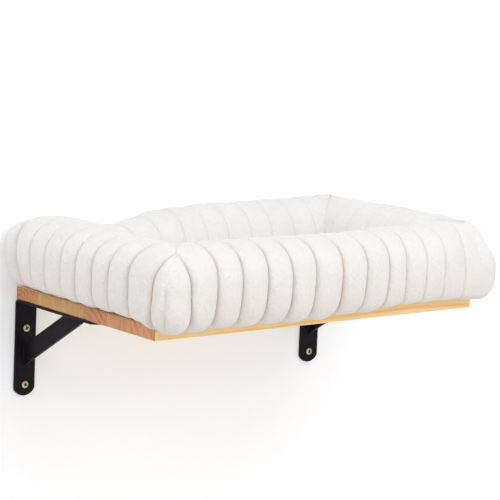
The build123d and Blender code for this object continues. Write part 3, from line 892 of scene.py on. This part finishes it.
def make_stage():
    """A plain pale wall, seen from the front only, which throws no shadow."""
    profile = [(WALL_FACE, WALL_HEIGHT), (WALL_FACE, BEND_HEIGHT)]
    for a in np.linspace(0.1, math.pi / 2, 12):
        profile.append((WALL_FACE - BEND_RADIUS * (1 - math.cos(a)), BEND_HEIGHT - BEND_RADIUS * math.sin(a)))
    profile.append((-STAGE_REACH, BEND_HEIGHT - BEND_RADIUS))
    mesh = bpy.data.meshes.new("backdrop")
    n = len(profile)
    points = [(x, y, z) for x in (-STAGE_REACH, STAGE_REACH) for y, z in profile]
    mesh.from_pydata(points, [], [(i, i + 1, n + i + 1, n + i) for i in range(n - 1)])
    mesh.polygons.foreach_set("use_smooth", [True] * len(mesh.polygons))
    backdrop = bpy.data.objects.new("backdrop", mesh)
    bpy.context.scene.collection.objects.link(backdrop)

    wall = Finish(
        "wall_paint", Roughness=0.9, Specular_IOR_Level=0.1, Base_Color=(0.87, 0.88, 0.9, 1), Emission_Strength=1
    )
    seen = wall.node("ShaderNodeLightPath")
    seen = seen + seen.beside("Is Glossy Ray") + seen.beside("Is Transmission Ray")
    wall.feed("Emission Color", wall.mix(seen, (0, 0, 0), (0.16, 0.16, 0.16)))
    behind = wall.node("ShaderNodeNewGeometry", output="Backfacing")
    clear = wall.node("ShaderNodeBsdfTransparent")
    front = Signal(wall, wall.shader.outputs[0])
    one_sided = wall.node("ShaderNodeMixShader", {}, {0: behind, 1: front, 2: clear})
    wall.links.new(one_sided.socket, wall.nodes["Material Output"].inputs["Surface"])
    mesh.materials.append(wall.material)
    backdrop.visible_shadow = False


# Each lamp's place, size and power
LIGHTS = {
    "window": ((0.3, -2.1, 1.55), 1.7, 23.2),
    "side_fill": ((-2.2, -0.5, 1.5), 0.8, 13),
    "low_fill": ((0.3, -2.5, -0.35), 1.4, 5),
    "rear_fill": ((0.4, 2.2, 0.5), 1.8, 14),
}
LIT_SPOT = Vector((0, -0.15, 0.1))


def make_lights():
    """Soft lamps all round, and a world that the lens sees as white but which lights the piece a little less."""
    for name, (place, size, power) in LIGHTS.items():
        lamp = bpy.data.lights.new(name, "AREA")
        lamp.size, lamp.energy = size, power
        light = bpy.data.objects.new(name, lamp)
        light.location = place
        light.rotation_euler = (LIT_SPOT - Vector(place)).to_track_quat("-Z", "Y").to_euler()
        bpy.context.scene.collection.objects.link(light)
    bpy.context.scene.world = bpy.data.worlds.new("daylight")
    sky = Tree(bpy.context.scene.world, "Background")
    sky.feed("Color", sky.mix(sky.node("ShaderNodeLightPath"), (0.66, 0.656, 0.65), (1, 1, 1)))


def make_camera():
    """The view onto the shelf: its place and turns, as measured from the board's corners."""
    lens = bpy.data.cameras.new("camera")
    lens.lens, lens.sensor_width = 188.676, 36
    camera = bpy.data.objects.new("camera", lens)
    yaw, pitch, roll = (math.radians(a) for a in (-38.04, 9.327, 2.38))
    back = Vector((math.sin(yaw) * math.cos(pitch), -math.cos(yaw) * math.cos(pitch), math.sin(pitch)))
    right = Vector((math.cos(yaw), math.sin(yaw), 0))
    up = back.cross(right)
    right, up = right * math.cos(roll) + up * math.sin(roll), up * math.cos(roll) - right * math.sin(roll)
    turned = Matrix((right, up, back)).transposed().to_4x4()
    camera.matrix_world = Matrix.Translation((-2.0187, -2.7396, 0.6831)) @ turned
    bpy.context.scene.collection.objects.link(camera)
    bpy.context.scene.camera = camera


# The solids that show, by finish
SHOWN_SOLIDS = {
    "pine": ["shelf_board"],
    "powder_coat": [f"{side}_{part}" for side in ("left", "right") for part in ("bracket", "brace")],
    "grip_tape": ["hook_pads", "loop_pads"],
}


def finish_solids():
    """The solids that show take their finishes."""
    for slot, names in SHOWN_SOLIDS.items():
        for name in names:
            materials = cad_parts[name].data.materials
            materials.clear()
            materials.append(FINISHES[slot])


for corner_name, run_name in zip(CORNERS, RUNS):
    make_run(run_name)
    make_corner(corner_name, run_name)
make_seat_cushion()
make_base_cloth()
for bracket_side, bracket_place in BRACKETS.items():
    make_welds(bracket_side, bracket_place)
# Each group's axes: across the screw twice, then along it
make_screws(
    "wall_screw_set", "wall_screws", axes=((1, 0, 0), (0, 0, 1), (0, 1, 0)),
    spots=[(x, LEG_FRONT, z) for x in BRACKETS.values() for z in (36.5, -36.5)],
    head_radius=4.75, head_height=2.8, neck_radius=1.9, shank_radius=2.5, length=40, point=6,
)
make_screws(
    "board_screw_set", "board_screws", axes=((1, 0, 0), (0, 1, 0), (0, 0, 1)),
    spots=[(x, y, LEG_UNDERSIDE) for x in BRACKETS.values() for y in (-35, -160)],
    head_radius=3.9, head_height=2.2, neck_radius=1.6, shank_radius=2.0, length=14, point=3,
)
make_stage()
make_lights()
make_camera()
finish_solids()

bpy.context.scene.view_settings.view_transform = "Standard"
